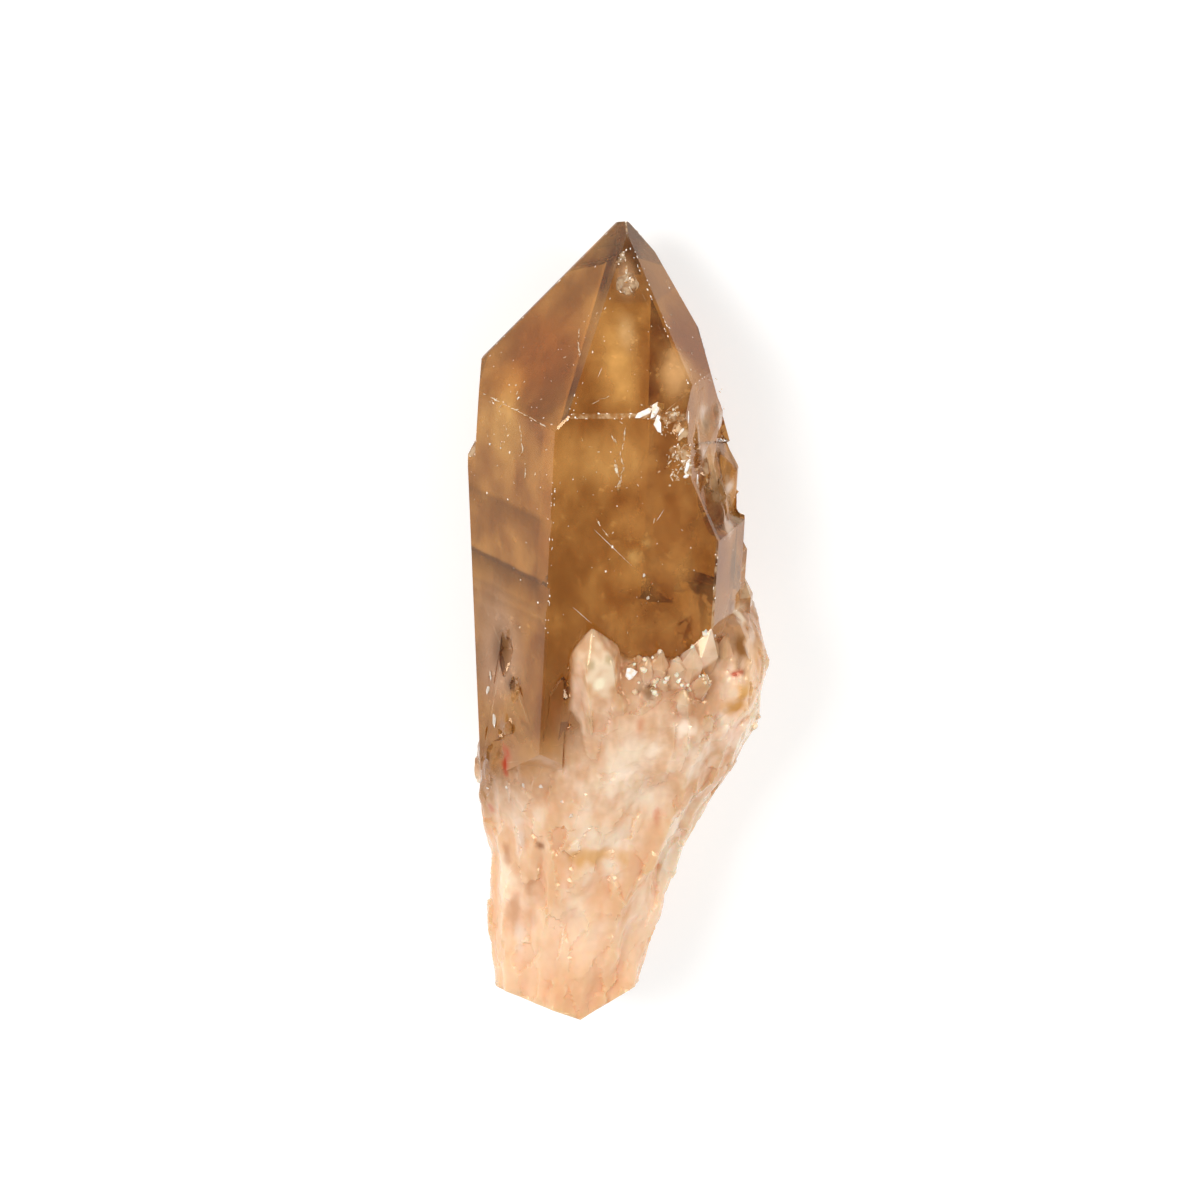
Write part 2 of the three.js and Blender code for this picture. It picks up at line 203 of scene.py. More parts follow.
# Clouds and tints inside the clear part: place, reach in three directions, colour and strength of the haze.
HAZES = [
    ((-6.5, 5.0, 12.0), (5.5, 8.5, 7.0), "#b5651c", 0.0),
    ((6.5, 6.0, 12.0), (3.4, 8.0, 4.5), "#a86420", -0.10),
    ((-8.8, 1.6, 11.4), (2.0, 2.4, 3.2), "#dc9440", 0.14),
    ((4.4, 3.6, 15.6), (1.8, 4.2, 2.4), "#ecb474", 0.38),
    ((-0.4, 4.2, 15.2), (2.4, 5.4, 3.2), "#f4ba68", 0.32),
    ((0.5, 6.4, 13.6), (1.0, 2.6, 2.0), "#f4c482", 0.08),
    ((0.6, 10.1, 10.8), (1.1, 2.2, 2.6), "#f2c8a0", 0.55),
    ((-8.6, -1.9, 12.5), (2.6, 3.4, 4.5), "#eeb765", 0.18),
    ((-0.8, -2.6, 17.6), (4.4, 3.6, 3.0), "#ebb266", 0.14),
    ((1.3, -10.6, 18.0), (0.9, 0.9, 2.0), "#e0b068", 0.20),
    ((2.2, -9.5, 18.0), (0.6, 0.7, 2.0), "#dcaa62", 0.16),
    ((7.2, -12.0, 17.0), (1.8, 5.5, 3.0), "#b27a3e", -0.06),
    ((9.9, -12.9, 14.6), (0.6, 2.8, 1.2), "#8a6436", 0.0),
    ((-8.6, -20.0, 12.5), (3.0, 6.5, 5.5), "#d3ab8c", 0.10),
    ((-8.2, -20.4, 12.9), (0.9, 2.3, 1.8), "#8a6a56", -0.10),
    ((-7.5, -22.9, 14.3), (0.5, 0.9, 1.0), "#80604c", -0.10),
]

# Growth bands across the left prism face: distance along the crystal, and how dark the band is there.
BANDS = [
    (-19.0, 0.0), (-17.3, 0.12), (-17.1, 0.0), (-16.2, 0.3), (-15.9, 0.1), (-15.3, 0.35), (-15.0, 0.2),
    (-12.85, 1.0), (-12.6, 0.05), (-9.6, 0.0), (-8.8, 0.25), (-7.9, 0.5), (-7.5, 0.0), (-2.0, 0.0),
]


def share_of(spot, middle, reach, ragged, inner, outer):
    """One near the middle of an ellipsoid, falling to none outside it."""
    if abs(spot.y - middle[1]) > outer * reach[1]:
        return 0.0
    far = Vector([(a - b) / r for a, b, r in zip(spot, middle, reach)]).length
    return smooth_step(outer, inner, far + ragged)


def laid_over(colour, cover, tint, share):
    """The colour and the cover of a tint laid by its share over what is there."""
    if share == 0:
        return colour, cover
    total = share + cover * (1 - share)
    return colour.lerp(Vector(linear(tint)[:3]), share / total), total


def stain_and_painted_light_at(spot):
    """The colour of the stains and of the painted light at a place, and how much they cover."""
    colour, cover = Vector(), 0.0
    ragged = 0.5 + 0.5 * noise.noise(spot * 1.25)
    for middle, reach, tint, strength in STAINS_AND_PAINTED_LIGHT:
        share = strength * share_of(spot, middle, reach, ragged, 0.65, 1.45)
        colour, cover = laid_over(colour, cover, tint, share)
    return colour, cover


def haze_at(spot):
    """The tints' colour at a place of the clear part, how much they cover, and the haze they add."""
    colour, cover, haze = Vector(), 0.0, 0.0
    ragged = 0.25 + 0.25 * noise.noise(Vector((spot.x, spot.y * 0.6, spot.z)) / 2.6)
    for middle, reach, tint, strength in HAZES:
        share = share_of(spot, middle, reach, ragged, 0.5, 1.35)
        colour, cover = laid_over(colour, cover, tint, share)
        haze += share * strength
    return colour, cover, haze


def citrine_material():
    """Natural quartz, grown and broken: glassy flat faces, amber by absorption and hazed inside, and a milky
    root with iron stains. The broken right side's facets carry painted reflection and painted shade."""
    material, tree = new_material("citrine_quartz")
    here = add(tree, "ShaderNodeTexCoord").outputs
    spot = add(tree, "ShaderNodeMapping", {
        "Scale": (1 / MM, 1 / MM, 1 / MM), "Location": tuple(-SOURCE_ORIGIN),
    }, {"Vector": here["Object"]}).outputs[0]
    parts = add(tree, "ShaderNodeSeparateXYZ", links={"Vector": spot}).outputs
    x, y, z = parts["X"], parts["Y"], parts["Z"]
    facing_up = add(tree, "ShaderNodeSeparateXYZ", links={"Vector": here["Normal"]}).outputs["Z"]

    def surface(name):
        return add(tree, "ShaderNodeAttribute", {"attribute_name": name}).outputs

    def grain(size, detail=3.0, stretch=(1, 1, 1)):
        scaled = add(tree, "ShaderNodeMapping", {"Scale": stretch}, {"Vector": spot}).outputs[0]
        return add(tree, "ShaderNodeTexNoise", {
            "Scale": 1 / size, "Detail": detail, "Roughness": 0.55,
        }, {"Vector": scaled}).outputs["Fac"]

    def sum_of(first, second, factor=1.0):
        settings = {"operation": "MULTIPLY_ADD", 1: factor}
        return add(tree, "ShaderNodeMath", settings, {0: second, 2: first}).outputs[0]

    def product(first, second):
        return add(tree, "ShaderNodeMath", {"operation": "MULTIPLY"}, {0: first, 1: second}).outputs[0]

    def larger(first, second):
        return add(tree, "ShaderNodeMath", {"operation": "MAXIMUM"}, {0: first, 1: second}).outputs[0]

    def ranged(value, low, high, start=0.0, end=1.0, kind="SMOOTHSTEP"):
        return add(tree, "ShaderNodeMapRange", {
            "interpolation_type": kind, "From Min": low, "From Max": high, "To Min": start, "To Max": end,
        }, {"Value": value}).outputs[0]

    def blend(factor, first, second):
        return add(tree, "ShaderNodeMix", {"data_type": "FLOAT"}, {0: factor, 2: first, 3: second}).outputs[0]

    def mixed(factor, first, second):
        node = add(tree, "ShaderNodeMix", {"data_type": "RGBA"}, {0: factor})
        for socket, value in ((6, first), (7, second)):
            if isinstance(value, str):
                node.inputs[socket].default_value = linear(value)
            else:
                tree.links.new(value, node.inputs[socket])
        return node.outputs[2]

    coarse = grain(2.6, 4.0, (1, 0.6, 1))
    small = grain(0.8, 2.0)
    wide_grain = grain(6.0, 2.0, (1, 0.7, 1))
    cloud = add(tree, "ShaderNodeMix", {"data_type": "FLOAT", 0: 0.5}, {2: wide_grain, 3: coarse}).outputs[0]

    # Milky below a ragged line that runs lower on the left, and on all that grew out over the front face.
    left_drop = add(tree, "ShaderNodeMath", {"operation": "MINIMUM", 1: 0.0}, {0: x}).outputs[0]
    level = sum_of(sum_of(y, left_drop, -1.2), ranged(x, 6.5, 9.5, 0.0, 5.5), -1.0)
    milky = ranged(sum_of(level, coarse, 7.0), -25.0, -14.5, 1.0, 0.0)
    over_front = product(ranged(z, 18.05, 18.4), ranged(y, -16.0, -14.0, 0.85, 0.0))
    over_front = product(over_front, ranged(x, -3.7, -2.9))
    milky = larger(milky, over_front)

    # Haze and colour inside the clear part.
    haze = sum_of(ranged(cloud, 0.37, 0.63, 0.03, 0.33), ranged(small, 0.62, 0.74), 0.16)
    amber = mixed(ranged(cloud, 0.36, 0.64), "#bb7e3c", "#dca056")
    amber = mixed(surface("tint_cover")["Fac"], amber, surface("tint")["Color"])
    haze = sum_of(haze, surface("haze")["Fac"])
    banded = add(tree, "ShaderNodeValToRGB", links={
        "Fac": ranged(sum_of(y, coarse, 0.4), BANDS[0][0], BANDS[-1][0], 0.0, 1.0, "LINEAR"),
    })
    stops = banded.color_ramp.elements
    while len(stops) < len(BANDS):
        stops.new(0.5)
    for stop, (along, dark) in zip(stops, BANDS):
        stop.position = (along - BANDS[0][0]) / (BANDS[-1][0] - BANDS[0][0])
        stop.color = (dark, dark, dark, 1)
    band = product(banded.outputs["Color"], ranged(x, -6.2, -5.6, 1.0, 0.0))
    amber = mixed(band, amber, "#6a421f")
    haze = sum_of(haze, band, -0.16)
    cap = product(ranged(sum_of(y, small, 0.3), 8.6, 8.9), ranged(x, -1.4, 0.4, 0.25, 0.75))
    amber = mixed(cap, amber, "#a8774a")

    # Root: opaque cream and peach with clearer brownish patches, in streaks along the crystal.
    streak = grain(3.6, 3.0, (1, 0.5, 1))
    cream = mixed(ranged(streak, 0.36, 0.64), "#f4c49a", "#ffe2c8")
    cream = mixed(ranged(y, -52.0, -36.0, 0.7, 0.0), cream, "#fabf90")
    colour = mixed(milky, amber, cream)

    clear_share = ranged(haze, 0.0, 1.0, 1.0, 0.0, "LINEAR")
    patches = sum_of(streak, small, 0.2)
    root_share = product(ranged(patches, 0.42, 0.80, 0.40, 0.10), ranged(y, -40.0, -26.0, 0.5, 1.1))
    see_through = blend(milky, clear_share, root_share)

    # Stains laid over the colour, with the painted reflection and painted shade on the broken right side's
    # facets.
    cover = surface("stain_and_painted_light_cover")["Fac"]
    colour = mixed(cover, colour, surface("stain_and_painted_light")["Color"])
    see_through = product(see_through, ranged(cover, 0.0, 1.0, 1.0, 0.2, "LINEAR"))

    dull = ranged(small, 0.35, 0.7, 0.12, 0.26)
    polish = ranged(coarse, 0.35, 0.7, 0.02, 0.06)
    polish = blend(ranged(facing_up, -0.35, -0.1, 1.0, 0.0), polish, ranged(cloud, 0.3, 0.7, 0.22, 0.36))
    rough = blend(milky, polish, dull)

    # Chips and worn edges are frosted and pale.
    frost = product(surface("bruise")["Fac"], ranged(small, 0.38, 0.62, 0.1, 0.7))
    colour = mixed(frost, colour, "#f3dcb8")
    see_through = blend(frost, see_through, ranged(cloud, 0.0, 1.0, 0.25, 0.35))
    rough = blend(frost, rough, ranged(cloud, 0.0, 1.0, 0.2, 0.4))

    shader = add(tree, "ShaderNodeBsdfPrincipled", {
        "IOR": QUARTZ_IOR, "Specular Tint": linear("#ffdfb8"), "Subsurface Scale": 2.4 * MM,
        "Subsurface Radius": (1.0, 0.6, 0.4),
    }, {
        "Base Color": colour, "Roughness": rough, "Transmission Weight": see_through,
        "Subsurface Weight": product(ranged(milky, 0.2, 1.0, 0.0, 0.65), ranged(cover, 0.0, 0.7, 1.0, 0.15)),
    })
    absorb = add(tree, "ShaderNodeVolumeAbsorption", {"Color": linear("#ddbf27"), "Density": 55.0})
    add(tree, "ShaderNodeOutputMaterial", links={"Surface": shader.outputs[0], "Volume": absorb.outputs[0]})
    return material


def between(value, ends):
    return ends[0] < value < ends[1]


def in_broken_right(spot, normal):
    inside = between(spot.y, BROKEN_ALONG) and between(spot.z, BROKEN_HEIGHT) and spot.x > BROKEN_INNER
    return inside and normal.x > 0.5


def in_side_crystal(spot):
    across, along, foot = SIDE_CRYSTAL_BOX
    return between(spot.x, across) and between(spot.y, along) and spot.z > foot


def mark_flats(shape):
    """Flags the faces that lie on a crystal's flat faces, and those of chips and worn edges."""
    flat = shape.faces.layers.int.new("flat")
    bruise = shape.faces.layers.float.new("bruise")
    planes = {}
    for face in shape.faces:
        normal = face.normal
        distance = normal.dot(face.verts[0].co) / MM
        key = (round(normal.x, 2), round(normal.y, 2), round(normal.z, 2), round(distance * 10))
        planes.setdefault(key, []).append(face)
    for faces in planes.values():
        area = sum(face.calc_area() for face in faces) / MM ** 2
        top = max(source_place(vert.co).y for face in faces for vert in face.verts)
        least = FLAT_CRUST_AREA if top > CRUST_END else FLAT_FACE_AREA
        for face in faces:
            spot = source_place(face.calc_center_median())
            broken = in_broken_right(spot, face.normal)
            face[flat] = int(area > least and not broken and not in_side_crystal(spot))
            if broken:
                face[bruise] = BROKEN_FROST
            elif top > ROOT_TOP and area < BRUISE_AREA:
                face[bruise] = CHIP_FROST if area < CHIP_AREA else WORN_FROST
    return flat


def root_relief(spot):
    """How far the root's surface stands out or in: tilted facets of grown-together blades, under a grain."""
    stretched = Vector((spot.x * 0.7, spot.y * 0.3, spot.z * 0.7))
    _, cells = noise.voronoi(stretched)
    tilt = noise.noise_vector(cells[0] * 7.1)
    facet = tilt.dot(stretched - cells[0]) + 0.5 * tilt.x
    ridge = 1 - 2 * abs(noise.noise(Vector((spot.x * 0.8, spot.y * 0.14, spot.z * 0.8))))
    fine = noise.noise(spot * 2.3)
    return 0.42 * facet + 0.12 * (ridge - 0.6) + 0.05 * fine


def broken_relief(spot):
    """How far the broken right side stands out or in: flat facets between the points of a slanted net."""
    across = (spot.y + 0.5 * spot.z) / 2.6
    along = (spot.z - 0.3 * spot.y) / 2.2
    row, column = math.floor(across), math.floor(along)
    across -= row
    along -= column

    def height(i, j):
        return noise.cell(Vector((row + i + 0.5, column + j + 0.5, 3.5)))

    if across + along < 1:
        level = height(0, 0) * (1 - across - along) + height(1, 0) * across + height(0, 1) * along
    else:
        level = height(1, 1) * (across + along - 1) + height(0, 1) * (1 - across) + height(1, 0) * (1 - along)
    return 0.7 * level - 0.2


def crystal_body():
    """A copy of the solid with its flat faces kept, its root and broken side worked over, and its stains and
    painted light.
    """
    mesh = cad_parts["citrine_point"].data.copy()
    shape = bmesh.new()
    shape.from_mesh(mesh)
    stain_and_painted_light = shape.verts.layers.float_vector.new("stain_and_painted_light")
    tint = shape.verts.layers.float_vector.new("tint")
    for name in ("stain_and_painted_light_cover", "tint_cover", "haze"):
        shape.verts.layers.float.new(name)
    numbers = shape.verts.layers.float
    bmesh.ops.remove_doubles(shape, verts=shape.verts, dist=1e-6)
    bmesh.ops.dissolve_degenerate(shape, edges=shape.edges, dist=1e-6)
    shape.normal_update()
    wide = [edge for edge in shape.edges if in_broken_right(
        source_place((edge.verts[0].co + edge.verts[1].co) / 2), edge.link_faces[0].normal)]
    bmesh.ops.subdivide_edges(shape, edges=wide, cuts=5)
    bmesh.ops.triangulate(shape, faces=[face for face in shape.faces if len(face.verts) > 3])
    shape.normal_update()
    flat = mark_flats(shape)
    for _ in range(SPLIT_ROUNDS):
        long_edges = [
            edge for edge in shape.edges
            if edge.calc_length() > ROOT_EDGE * MM
            and any(not face[flat] for face in edge.link_faces)
            and any(source_place(v.co).y < ROOT_TOP or in_broken_right(source_place(v.co), v.normal)
                    for v in edge.verts)
        ]
        if not long_edges:
            break
        bmesh.ops.subdivide_edges(shape, edges=long_edges, cuts=1)
        bmesh.ops.triangulate(shape, faces=[face for face in shape.faces if len(face.verts) > 3])
    worn = [vert for vert in shape.verts if not any(face[flat] for face in vert.link_faces)
            and source_place(vert.co).y < ROOT_TOP + 1 and vert.co.z > 0.02 * MM]
    bulge = [vert for vert in worn if source_place(vert.co).x > 8.2 and source_place(vert.co).y > -25]
    for verts in [worn] * 3 + [bulge] * 9:
        bmesh.ops.smooth_vert(
            shape, verts=verts, factor=0.5, use_axis_x=True, use_axis_y=True, use_axis_z=True)
    shape.normal_update()
    moves = []
    for vert in shape.verts:
        if any(face[flat] for face in vert.link_faces):
            continue
        spot = source_place(vert.co)
        lift = 0.0
        if in_broken_right(spot, vert.normal):
            low, high = BROKEN_ALONG
            lift = broken_relief(spot) * smooth_step(low, low + BROKEN_FADE, spot.y)
            lift *= smooth_step(high, high - BROKEN_FADE, spot.y)
        elif spot.y < ROOT_TOP and spot.z > 0.02:
            lift = root_relief(spot) * smooth_step(ROOT_TOP, ROOT_TOP - 4, spot.y)
            lift *= smooth_step(0.0, 1.5, spot.z)
            lift *= 0.25 if in_side_crystal(spot) else 1.0
        moves.append((vert, vert.normal * lift * MM))
    for vert, move in moves:
        vert.co += move
        vert.co.z = max(vert.co.z, 0.0)
    for _ in range(SPLIT_ROUNDS):
        long_edges = [edge for edge in shape.edges if edge.calc_length() > FACE_EDGE * MM]
        bmesh.ops.subdivide_edges(shape, edges=long_edges, cuts=1)
        bmesh.ops.triangulate(shape, faces=[face for face in shape.faces if len(face.verts) > 3])
    shape.normal_update()
    # Each point's stains, with the painted reflection and painted shade of the broken side's facets, and the
    # clear part's tints and haze.
    for vert in shape.verts:
        spot = source_place(vert.co)
        vert[stain_and_painted_light], vert[numbers["stain_and_painted_light_cover"]] = stain_and_painted_light_at(spot)
        vert[tint], vert[numbers["tint_cover"]], vert[numbers["haze"]] = haze_at(spot)
    for face in shape.faces:
        broken = in_broken_right(source_place(face.calc_center_median()), face.normal)
        face.smooth = not face[flat] and not broken
    for edge in shape.edges:
        kinds = {face[flat] for face in edge.link_faces}
        angle = edge.calc_face_angle(0.0)
        edge.smooth = len(kinds) == 1 and angle < SHARP_ANGLE
        edge.seam = angle > NICK_AND_HIGHLIGHT_ANGLE
    shape.to_mesh(mesh)
    shape.free()
    mesh.materials.clear()
    mesh.materials.append(citrine_material())
    return link_object("citrine_point_body", mesh)


body = crystal_body()
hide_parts("citrine_point")
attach(body, "root")

# The body's surface, for setting small pieces on it.
body_mesh = body.data
body_tree = BVHTree.FromPolygons(
    [vert.co for vert in body_mesh.vertices], [face.vertices for face in body_mesh.polygons])


def on_surface(place):
    """The nearest point of the body's surface to a place in millimetres, and the way out of it."""
    found, normal, _, _ = body_tree.find_nearest(at(*place))
    return found, normal


def faces_where(wanted):
    """The faces that a test on their middle and flatness picks, with their areas as weights."""
    placed = [(face, source_place(face.center)) for face in body_mesh.polygons]
    picked = [face for face, spot in placed if wanted(face, spot)]
    return picked, [face.area for face in picked]


def point_in(face, rng):
    corners = [body_mesh.vertices[i].co for i in face.vertices[:3]]
    first, second = sorted((rng.random(), rng.random()))
    return corners[0] * first + corners[1] * (second - first) + corners[2] * (1 - second)


def turned(facing, along):
    """Axes with Z along one direction and Y as near as can be to another."""
    side = along.cross(facing).normalized()
    return Matrix((side, facing.cross(side), facing)).transposed()


def any_way(rng):
    return Vector((rng.gauss(0, 1), rng.gauss(0, 1), rng.gauss(0, 1))).normalized()


def add_flake(shape, middle, axes, size, rng):
    """A thin closed flake with a ragged outline, its size across, along and through in millimetres."""
    made = bmesh.ops.create_icosphere(shape, subdivisions=1, radius=0.5)
    for vert in made["verts"]:
        ragged = vert.co * rng.uniform(0.5, 1.4)
        vert.co = middle + axes @ Vector([r * s * MM for r, s in zip(ragged, size)])


def add_point(shape, middle, axes, width, length):
    """A tiny six-sided quartz point standing on its foot."""
    made = bmesh.ops.create_cone(
        shape, cap_ends=True, segments=6, radius1=width / 2, radius2=width / 2, depth=length)
    faces = {face for vert in made["verts"] for face in vert.link_faces}
    top = max(faces, key=lambda face: face.calc_center_median().z)
    poked = bmesh.ops.poke(shape, faces=[top])
    poked["verts"][0].co.z += width * 0.62
    for vert in made["verts"] + poked["verts"]:
        vert.co = middle + axes @ (vert.co * MM)


def finished(shape, name, material):
    """Makes the shape a piece of the crystal."""
    bmesh.ops.recalc_face_normals(shape, faces=shape.faces)
    mesh = bpy.data.meshes.new(name)
    shape.to_mesh(mesh)
    shape.free()
    mesh.materials.append(material)
    piece = link_object(name, mesh)
    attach(piece, "root")
    return piece


def speckled_material(name, dark, pale, size, settings):
    """Quartz with two tints that grade into each other in grains of one size in millimetres."""
    material, tree = new_material(name)
    place = add(tree, "ShaderNodeTexCoord").outputs["Object"]
    grain = add(tree, "ShaderNodeTexNoise", {"Scale": 1 / (size * MM), "Detail": 3.0}, {"Vector": place})
    middle = {"From Min": 0.35, "From Max": 0.65}
    share = add(tree, "ShaderNodeMapRange", middle, {"Value": grain.outputs["Fac"]})
    tints = {"data_type": "RGBA", 6: linear(dark), 7: linear(pale)}
    tint = add(tree, "ShaderNodeMix", tints, {0: share.outputs[0]})
    finish = {"IOR": QUARTZ_IOR, **settings}
    shader = add(tree, "ShaderNodeBsdfPrincipled", finish, {"Base Color": tint.outputs[2]})
    add(tree, "ShaderNodeOutputMaterial", links={"Surface": shader.outputs[0]})
    return material


# Feathery cracks at the faces: the points that each runs through and its width.
FEATHERS = [
    ([(-0.96, -0.6, 18.0), (-0.3, -1.5, 18.0), (0.04, -3.2, 18.0), (-0.2, -4.9, 18.0)], 0.12),
    ([(-0.6, -2.6, 18.0), (-0.4, -3.8, 18.0), (-0.15, -5.0, 18.0)], 0.2),
    ([(0.05, 0.2, 18.0), (0.0, -1.0, 18.0), (-0.15, -1.8, 18.0)], 0.08),
    ([(-7.75, -1.1, 14.0), (-7.5, -2.9, 14.5), (-7.6, -3.4, 14.3)], 0.12),
    ([(-7.3, -3.9, 14.8), (-7.2, -5.0, 14.9)], 0.1),
    ([(-3.5, 6.6, 12.4), (-3.2, 5.2, 13.4), (-2.9, 4.6, 14.0)], 0.08),
    ([(0.6, 10.9, 9.9), (0.9, 9.8, 10.8), (1.1, 9.2, 11.3)], 0.14),
    ([(2.9, -7.2, 18.0), (2.7, -7.8, 18.0)], 0.1),
    ([(-1.9, -7.4, 18.0), (-1.4, -8.2, 18.0), (-0.8, -9.0, 18.0)], 0.1),
    ([(-2.6, 1.9, 17.4), (-1.2, 2.4, 17.0)], 0.05),
    ([(-10.12, 0.11, 9.65), (-7.74, 0.01, 13.83), (-5.61, -0.2, 17.69)], 0.07),
    ([(4.2, -2.2, 18.0), (4.9, -3.0, 18.0), (5.2, -4.0, 18.0)], 0.2),
    ([(6.1, -4.3, 16.9), (6.6, -5.6, 16.6)], 0.08),
]

# Crumbled patches: place, depth, spread across and along, count, flake length and width.
CRUMBS = [
    ((4.2, -2.9, 18.0), 0.02, 1.2, 1.5, 30, 0.5, 0.25),
    ((5.1, -3.2, 18.0), 0.02, 0.5, 1.3, 16, 0.6, 0.4),
    ((3.2, 0.3, 18.0), 0.02, 0.7, 1.0, 14, 0.4, 0.2),
    ((4.0, 1.4, 17.6), 0.02, 0.8, 0.5, 10, 0.5, 0.3),
    ((0.8, 10.0, 10.8), 0.02, 0.5, 0.9, 16, 0.6, 0.35),
    ((2.6, -14.6, 18.0), 0.05, 1.6, 1.9, 12, 0.3, 0.15),
    ((-3.2, -6.6, 18.0), 0.05, 1.6, 2.0, 12, 0.25, 0.12),
    ((-8.2, 1.2, 12.0), 0.02, 1.8, 2.0, 8, 0.4, 0.16),
    ((-8.9, -2.2, 12.2), 0.02, 2.0, 3.4, 16, 0.45, 0.14),
    ((-3.6, 4.6, 13.2), 0.02, 1.2, 4.5, 14, 0.4, 0.12),
    ((-1.5, -2.6, 18.0), 0.02, 5.0, 4.0, 18, 0.35, 0.12),
    ((1.2, 4.0, 15.5), 0.02, 4.0, 4.5, 14, 0.3, 0.12),
    ((5.6, 4.6, 13.0), 0.02, 1.6, 5.0, 14, 0.4, 0.15),
    ((1.0, -13.0, 18.0), 0.02, 6.0, 8.0, 22, 0.28, 0.12),
]


def healed_cracks():
    """Feathery cracks and crumbled patches at the surface, as many thin flakes."""
    rng = random.Random(11)
    shape = bmesh.new()
    for route, width in FEATHERS:
        for first, second in zip(route, route[1:]):
            start, end = Vector(first), Vector(second)
            for _ in range(max(2, int((end - start).length / 0.3))):
                foot, normal = on_surface(start.lerp(end, rng.random()))
                along = ((end - start).normalized() + any_way(rng) * 0.25).normalized()
                facing = (normal + any_way(rng) * 0.3).normalized()
                size = (width * rng.uniform(0.4, 1.6), rng.uniform(0.3, 1.1), 0.06)
                add_flake(shape, foot, turned(facing, along), size, rng)
    for place, depth, across, along, count, length, width in CRUMBS:
        foot, normal = on_surface(place)
        axes = turned(normal, Vector((0, 1, 0)))
        for _ in range(count):
            shift = Vector((
                rng.gauss(0, across / 2), rng.gauss(0, along / 2), -depth * rng.uniform(0.6, 1.5)))
            facing = (normal + any_way(rng) * 0.35).normalized()
            size = (width * rng.uniform(0.3, 1.2), length * rng.uniform(0.3, 1.2), 0.07)
            add_flake(shape, foot + axes @ shift * MM, turned(facing, any_way(rng)), size, rng)
    # Thin films of air in quartz: golden to nearly white, with a soft gleam.
    finished(shape, "healed_cracks", speckled_material(
        "crack_film", "#c98d42", "#fff4dc", 0.28, {"Roughness": 0.2, "Transmission Weight": 0.25}))


def edge_nicks_and_highlights():
    """Small bruises along the crystal's edges, which also paint the bright edge lines as highlights, and
    specks scattered over its faces, on the clear part.
    """
    rng = random.Random(5)
    shape = bmesh.new()
    for edge in body_mesh.edges:
        if not edge.use_seam:
            continue
        ends = [body_mesh.vertices[i].co for i in edge.vertices]
        spot = source_place((ends[0] + ends[1]) / 2)
        on_band = spot.x < -6.2 and -17.5 < spot.y < -6.5
        on_broken_side = spot.x > BROKEN_INNER and -9.8 < spot.y < 0.8
        if spot.y < ROOT_TOP - 1 or spot.z < 2.5 or on_band or on_broken_side:
            continue
        length = (ends[1] - ends[0]).length / MM
        along = (ends[1] - ends[0]).normalized()
        for _ in range(int(length * 0.9 + rng.random())):
            middle = ends[0].lerp(ends[1], rng.random())
            if noise.noise(source_place(middle) * 0.7) + rng.uniform(-0.4, 0.4) < 0.02:
                continue
            _, normal, _, _ = body_tree.find_nearest(middle)
            size = (rng.uniform(0.05, 0.14), rng.uniform(0.06, 0.3), 0.06)
            add_flake(shape, middle, turned(normal, (along + any_way(rng) * 0.2).normalized()), size, rng)
    picked, weights = faces_where(lambda face, spot: spot.y > ROOT_TOP and spot.z > 1.0)
    for face in rng.choices(picked, weights, k=SPECK_COUNT):
        middle = point_in(face, rng)
        if noise.noise(source_place(middle) * 0.35) + rng.uniform(-0.5, 0.5) < 0.05:
            continue
        width = rng.choice((0.05, 0.05, 0.06, 0.08, 0.1, 0.16))
        axes = turned(face.normal, (Vector((0, 1, 0)) + any_way(rng) * 0.8).normalized())
        add_flake(shape, middle, axes, (width, width * rng.uniform(0.8, 1.8), 0.06), rng)
    # Crushed quartz, and along the edges a painted highlight: cream-white and half matt.
    finished(shape, "edge_nicks_and_highlights", speckled_material(
        "bruised_quartz_and_edge_highlight", "#f3ddc4", "#fffaf2", 0.2, {"Roughness": 0.3}))


# Larger white flakes, most where the front face's right edge is chipped: partly real chipped quartz, partly
# painted highlights where the chips' smooth faces catch the light. Place, width, length, and the turn of the
# length from the crystal's axis in degrees.
BRUISES_AND_PAINTED_HIGHLIGHTS = [
    ((1.5, 1.25, 17.8), 0.5, 1.6, 62),
    ((2.5, 1.5, 17.6), 0.9, 1.7, 50),
    ((2.6, 0.5, 17.9), 0.7, 1.5, -12),
    ((5.0, 0.9, 17.5), 0.3, 1.3, 4),
    ((4.6, -0.2, 17.8), 0.25, 1.2, 48),
    ((5.2, -3.0, 17.9), 0.5, 1.5, 5),
    ((5.1, -3.9, 17.9), 0.6, 0.6, 30),
    ((6.1, -4.6, 16.9), 0.2, 1.0, 30),
    ((1.5, -20.3, 18.9), 0.9, 1.2, -25),
    ((8.2, -17.4, 17.9), 0.3, 0.8, 40),
]

